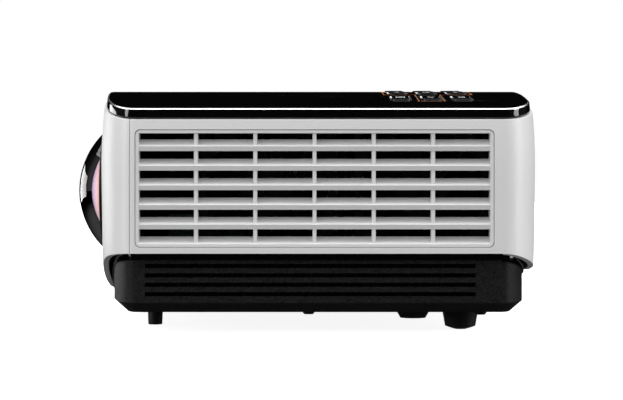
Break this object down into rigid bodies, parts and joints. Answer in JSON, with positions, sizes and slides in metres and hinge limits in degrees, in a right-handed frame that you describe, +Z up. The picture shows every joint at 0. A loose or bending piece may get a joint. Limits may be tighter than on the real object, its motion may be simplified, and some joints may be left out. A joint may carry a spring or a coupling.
{
  "type": "projector with tray disc player",
  "caption": "Short-throw projector with a domed lens, crowned cover, louvred sides, keypad, adjuster feet and a tray disc drive in its base.",
  "frame": {"origin": "middle of the overall length and width, on the surface that the feet stand on", "axes": "-X out of the lens, +X out of the socket panel, -Y out of the exhaust grille, +Y the way the tray opens, +Z up"},
  "size_m": [0.2337, 0.287, 0.1168],
  "materials": {
    "white_shell": "satin white moulding",
    "gloss_black": "high gloss piano black",
    "matt_black": "fine textured black",
    "black_plastic": "smooth black",
    "key_plastic": "satin dark grey",
    "clear_lens": "coated optical glass",
    "smoked_window": "smoked translucent",
    "foot_rubber": "matt",
    "steel_sheet": "bright sheet",
    "cast_alloy": "as cast",
    "circuit_green": "solder mask",
    "lamp_plastic": "heat resistant grey",
    "filter_foam": "open foam"
  },
  "bodies": {
    "housing": {"audio_jacks": "black_plastic", "base_tray": "matt_black", "drive_chassis": "steel_sheet", "drive_lid": "steel_sheet", "dsub_sockets": "steel_sheet", "dust_filter": "filter_foam", "exhaust_grille": "white_shell", "fan_frames": "black_plastic", "front_bezel": "white_shell", "front_feet": "foot_rubber", "hdmi_socket": "steel_sheet", "heat_sink": "cast_alloy", "imaging_board": "circuit_green", "intake_grille": "white_shell", "ir_windows": "smoked_window", "keypad_board": "circuit_green", "lamp_ballast": "circuit_green", "lamp_module": "lamp_plastic", "lan_socket": "steel_sheet", "lens_barrel": "black_plastic", "lens_glass": "clear_lens", "lens_retainer": "black_plastic", "light_engine": "cast_alloy", "lower_trim": "gloss_black", "main_board": "circuit_green", "mains_inlet": "black_plastic", "mid_deck": "steel_sheet", "phono_sockets": "black_plastic", "power_supply": "circuit_green", "rear_panel": "matt_black", "side_shell": "white_shell", "speaker": "black_plastic", "status_lights": "smoked_window", "top_cover": "gloss_black", "usb_socket": "black_plastic", "wheel_motor": "steel_sheet"},
    "focus": {"focus_ring": "black_plastic"},
    "wheel": {"colour_wheel": "cast_alloy"},
    "rotor_front": {"fan_rotor_front": "black_plastic"},
    "rotor_rear": {"fan_rotor_rear": "black_plastic"},
    "foot_near": {"rear_foot_near": "foot_rubber"},
    "foot_far": {"rear_foot_far": "foot_rubber"},
    "tray": {"disc_tray": "black_plastic", "tray_front": "matt_black", "traverse": "steel_sheet"},
    "rails": {"slide_rails": "steel_sheet"},
    "platter": {"turntable": "black_plastic"},
    "sled": {"pickup_sled": "black_plastic"},
    "screw": {"lead_screw": "steel_sheet"},
    "button": {"eject_button": "key_plastic"},
    "key_source": {"key_source": "key_plastic"},
    "key_down": {"key_down": "key_plastic"},
    "key_auto": {"key_auto": "key_plastic"},
    "key_left": {"key_left": "key_plastic"},
    "key_enter": {"key_enter": "key_plastic"},
    "key_right": {"key_right": "key_plastic"},
    "key_power": {"key_power": "key_plastic"},
    "key_up": {"key_up": "key_plastic"},
    "key_blank": {"key_blank": "key_plastic"}
  },
  "joints": [
    {"name": "focus_turn", "type": "hinge", "parent": "housing", "child": "focus", "pos_m": [-0.0923, 0.03, 0.0657], "axis": [1, 0, 0], "range_deg": [-35, 35]},
    {"name": "wheel_spin", "type": "hinge", "parent": "housing", "child": "wheel", "pos_m": [0.0395, 0.038, 0.066], "axis": [1, 0, 0], "continuous": true},
    {"name": "fan_front_spin", "type": "hinge", "parent": "housing", "child": "rotor_front", "pos_m": [-0.009, -0.126, 0.0642], "axis": [0, 1, 0], "continuous": true},
    {"name": "fan_rear_spin", "type": "hinge", "parent": "housing", "child": "rotor_rear", "pos_m": [0.061, -0.126, 0.0642], "axis": [0, 1, 0], "continuous": true},
    {"name": "key_source_press", "type": "slide", "parent": "housing", "child": "key_source", "axis": [0, 0.1635, -0.9865], "range_m": [0, 0.0004], "stiffness_N_per_m": 1000, "springref_m": -0.0003},
    {"name": "key_down_press", "type": "slide", "parent": "housing", "child": "key_down", "axis": [0, 0.1635, -0.9865], "range_m": [0, 0.0004], "stiffness_N_per_m": 1000, "springref_m": -0.0003},
    {"name": "key_auto_press", "type": "slide", "parent": "housing", "child": "key_auto", "axis": [0, 0.1635, -0.9865], "range_m": [0, 0.0004], "stiffness_N_per_m": 1000, "springref_m": -0.0003},
    {"name": "key_left_press", "type": "slide", "parent": "housing", "child": "key_left", "axis": [0, 0.1136, -0.9935], "range_m": [0, 0.0004], "stiffness_N_per_m": 1000, "springref_m": -0.0003},
    {"name": "key_enter_press", "type": "slide", "parent": "housing", "child": "key_enter", "axis": [0, 0.1136, -0.9935], "range_m": [0, 0.0004], "stiffness_N_per_m": 1000, "springref_m": -0.0003},
    {"name": "key_right_press", "type": "slide", "parent": "housing", "child": "key_right", "axis": [0, 0.1136, -0.9935], "range_m": [0, 0.0004], "stiffness_N_per_m": 1000, "springref_m": -0.0003},
    {"name": "key_power_press", "type": "slide", "parent": "housing", "child": "key_power", "axis": [0, 0.0637, -0.998], "range_m": [0, 0.0004], "stiffness_N_per_m": 1000, "springref_m": -0.0003},
    {"name": "key_up_press", "type": "slide", "parent": "housing", "child": "key_up", "axis": [0, 0.0637, -0.998], "range_m": [0, 0.0004], "stiffness_N_per_m": 1000, "springref_m": -0.0003},
    {"name": "key_blank_press", "type": "slide", "parent": "housing", "child": "key_blank", "axis": [0, 0.0637, -0.998], "range_m": [0, 0.0004], "stiffness_N_per_m": 1000, "springref_m": -0.0003},
    {"name": "foot_near_height", "type": "slide", "parent": "housing", "child": "foot_near", "axis": [0, 0, -1], "range_m": [0, 0.01]},
    {"name": "foot_far_height", "type": "slide", "parent": "housing", "child": "foot_far", "axis": [0, 0, -1], "range_m": [0, 0.01]},
    {"name": "tray_slide", "type": "slide", "parent": "housing", "child": "tray", "axis": [0, 1, 0], "range_m": [0, 0.125]},
    {"name": "rail_slide", "type": "slide", "parent": "housing", "child": "rails", "axis": [0, 1, 0], "range_m": [0, 0.0625]},
    {"name": "platter_spin", "type": "hinge", "parent": "tray", "child": "platter", "pos_m": [0.0075, 0.0724, 0.0225], "axis": [0, 0, 1], "continuous": true},
    {"name": "sled_slide", "type": "slide", "parent": "tray", "child": "sled", "axis": [0, -1, 0], "range_m": [0, 0.0315]},
    {"name": "screw_turn", "type": "hinge", "parent": "tray", "child": "screw", "pos_m": [0.0239, 0.04, 0.01785], "axis": [0, 1, 0], "range_deg": [0, 3781]},
    {"name": "eject_press", "type": "slide", "parent": "tray", "child": "button", "axis": [0, -1, 0], "range_m": [0, 0.0005], "stiffness_N_per_m": 600, "springref_m": -0.0005}
  ],
  "couplings": [
    {"joint": "rail_slide", "follows": "tray_slide", "ratio": 0.5},
    {"joint": "screw_turn", "follows": "sled_slide", "rad_per_m": 2094.4}
  ]
}
